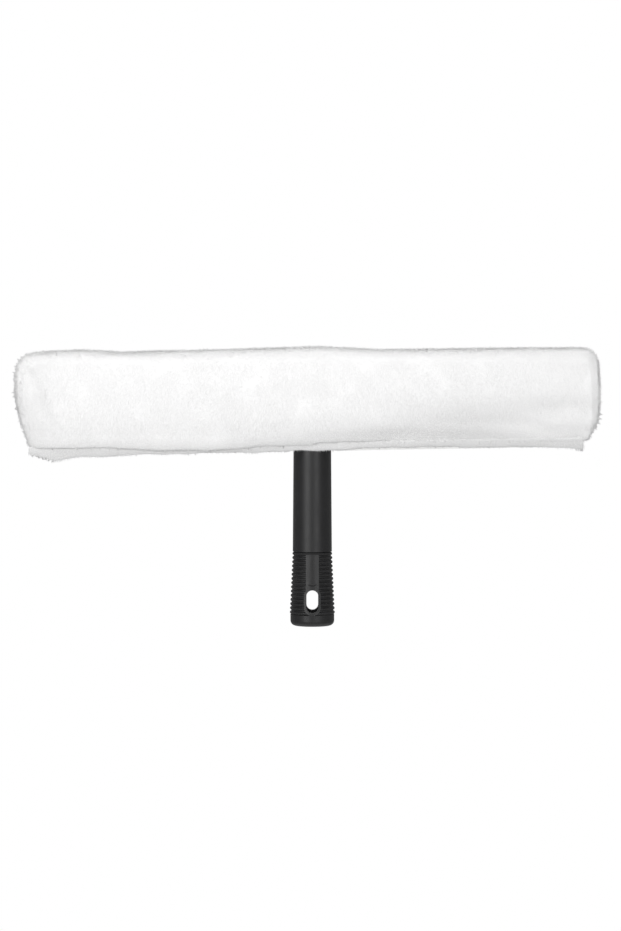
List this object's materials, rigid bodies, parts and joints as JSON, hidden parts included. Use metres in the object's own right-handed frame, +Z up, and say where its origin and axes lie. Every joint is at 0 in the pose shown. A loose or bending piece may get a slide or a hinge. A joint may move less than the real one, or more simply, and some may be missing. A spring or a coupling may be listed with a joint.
{
  "type": "window scrubber",
  "caption": "T-shaped window washer: a white fleece sleeve drawn over a ribbed crossbar, with a black ringed handle that has a hanging slot and a pole socket.",
  "frame": {"origin": "centre of the pole socket's mouth, at the lower end of the handle", "axes": "+Z up the handle to the crossbar, +X along the crossbar to the right as pictured, front faces -Y"},
  "size_m": [0.4544, 0.0464, 0.2159],
  "materials": {
    "fleece": "matte",
    "black_plastic": "satin",
    "rivet_steel": "satin",
    "loop_tape": "matte",
    "hook_tape": "satin"
  },
  "bodies": {
    "t_bar": {"crossbar": "black_plastic", "handle": "black_plastic", "bar_rivets": "rivet_steel"},
    "sleeve": {"fleece_cover": "fleece", "front_hem": "fleece", "left_loop_tape": "loop_tape", "right_loop_tape": "loop_tape"},
    "left_closure": {"left_flap": "fleece", "left_hook_tape": "hook_tape"},
    "right_closure": {"right_flap": "fleece", "right_hook_tape": "hook_tape"}
  },
  "joints": [
    {"name": "sleeve_lift", "type": "slide", "parent": "t_bar", "child": "sleeve", "axis": [0, 0, 1], "range_m": [0, 0.085], "deforming": ["left_flap", "right_flap", "left_hook_tape", "right_hook_tape"]},
    {"name": "left_flap_open", "type": "hinge", "parent": "sleeve", "child": "left_closure", "pos_m": [0, 0.0186, 0.1398], "axis": [0.9998, 0, 0.0175], "range_deg": [0, 100]},
    {"name": "right_flap_open", "type": "hinge", "parent": "sleeve", "child": "right_closure", "pos_m": [0, 0.0186, 0.1398], "axis": [0.9998, 0, 0.0175], "range_deg": [0, 100]}
  ]
}
